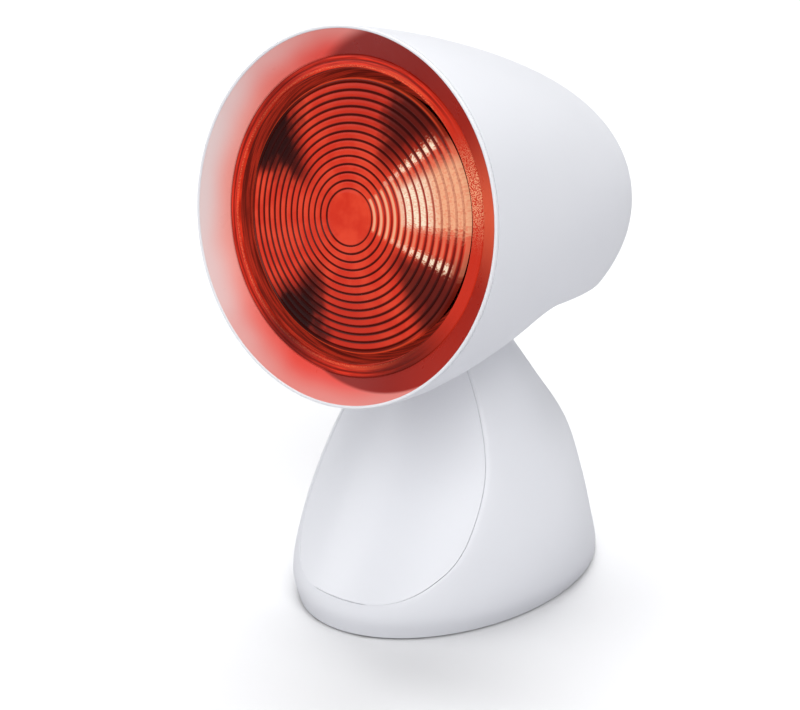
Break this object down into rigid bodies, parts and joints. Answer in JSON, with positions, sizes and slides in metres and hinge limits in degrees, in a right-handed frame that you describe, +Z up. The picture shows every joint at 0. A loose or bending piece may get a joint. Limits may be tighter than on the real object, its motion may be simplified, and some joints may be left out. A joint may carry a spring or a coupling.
{
  "type": "infrared heat lamp",
  "caption": "Tabletop infrared heat lamp: a white hooded head round a ringed red reflector bulb tilts on a hollow egg-shaped foot with a rocker switch and a cord inlet at its back.",
  "frame": {"origin": "on the table, in the middle of the whole outline", "axes": "+Z up, -Y towards the lamp's mouth, +X to the right of someone looking along +Y at the mouth"},
  "size_m": [0.1668, 0.1997, 0.2801],
  "materials": {
    "white_shell": "satin moulded plastic",
    "white_liner": "satin moulded plastic",
    "collar_red": "glossy heat-resistant ring",
    "red_glass": "pressed ringed glass, coloured red",
    "reflector_glass": "smooth red glass, silvered inside",
    "ceramic": "glazed ceramic",
    "inner_plastic": "matte moulded plastic",
    "switch_plastic": "glossy plastic",
    "brass": "bright metal",
    "tungsten": "coiled wire and leads",
    "cap_glass": "black vitrite",
    "solder": "solder pad",
    "washer_fibre": "pressed fibre",
    "rubber": "matte",
    "steel": "zinc plated"
  },
  "bodies": {
    "foot": {"base_shell": "white_shell", "front_cover": "white_shell", "front_cover_screws": "steel", "support_column": "inner_plastic", "column_screws": "steel", "floor_plate": "white_shell", "floor_screws": "steel", "rubber_feet": "rubber", "cord_gland": "switch_plastic", "cord_clamp": "inner_plastic", "clamp_screws": "steel", "terminal_block": "inner_plastic", "terminal_screws": "brass", "switch_body": "switch_plastic", "switch_tabs": "brass"},
    "head": {"shade_shell": "white_shell", "shade_liner": "white_liner", "liner_screws": "steel", "reflector_collar": "collar_red", "bulb_lens": "red_glass", "bulb_reflector": "reflector_glass", "bulb_filament": "tungsten", "bulb_cap": "brass", "cap_insulator": "cap_glass", "cap_contact": "solder", "lampholder_body": "ceramic", "lampholder_sleeve": "brass", "lampholder_contact": "brass", "lampholder_bracket": "steel", "bracket_screws": "steel", "underside_cover": "white_shell", "underside_screws": "steel", "tilt_axle": "steel", "axle_nut": "steel", "friction_washers": "washer_fibre", "detent_ball": "steel", "detent_spring": "steel", "detent_screw": "steel"},
    "rocker": {"switch_rocker": "switch_plastic"}
  },
  "joints": [
    {"name": "head_tilt", "type": "hinge", "parent": "foot", "child": "head", "pos_m": [0, -0.0035, 0.1285], "axis": [-1, 0, 0], "range_deg": [-20, 20]},
    {"name": "switch_rocker", "type": "hinge", "parent": "foot", "child": "rocker", "pos_m": [0, 0.05688, 0.04323], "axis": [1, 0, 0], "range_deg": [0, 14]}
  ]
}
